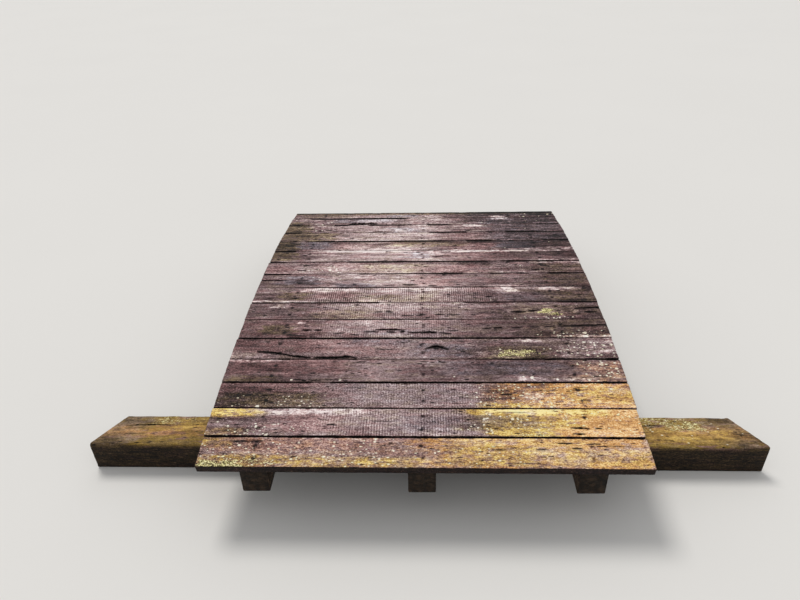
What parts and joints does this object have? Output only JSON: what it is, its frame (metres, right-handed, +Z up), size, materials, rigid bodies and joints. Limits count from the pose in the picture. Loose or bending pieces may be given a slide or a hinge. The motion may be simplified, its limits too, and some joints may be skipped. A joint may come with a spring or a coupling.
{
  "type": "plank footbridge",
  "caption": "Low cambered garden footbridge: rough-sawn boards nailed across shaped bearers that rest on sill beams, with no handrail.",
  "frame": {"origin": "middle of the footprint, on the ground under the sill beams", "axes": "+X along the boards to the right, +Y along the walkway from the near end to the far end, +Z up"},
  "size_m": [2, 1.5956, 0.2752],
  "materials": {
    "deck_timber": "rough-sawn and weathered, with algae and lichen",
    "bearer_timber": "rough-sawn, dark and damp",
    "sill_timber": "weathered, stained ochre and green",
    "nail_steel": "rusted"
  },
  "bodies": {
    "root": {"deck_board_01": "deck_timber", "deck_board_02": "deck_timber", "deck_board_03": "deck_timber", "deck_board_04": "deck_timber", "deck_board_05": "deck_timber", "deck_board_06": "deck_timber", "deck_board_07": "deck_timber", "deck_board_08": "deck_timber", "deck_board_09": "deck_timber", "deck_board_10": "deck_timber", "deck_board_11": "deck_timber", "deck_board_12": "deck_timber", "deck_board_13": "deck_timber", "deck_board_14": "deck_timber", "deck_board_15": "deck_timber", "deck_board_16": "deck_timber", "bearer_01": "bearer_timber", "bearer_02": "bearer_timber", "bearer_03": "bearer_timber", "sill_near": "sill_timber", "sill_far": "sill_timber"}
  },
  "joints": []
}
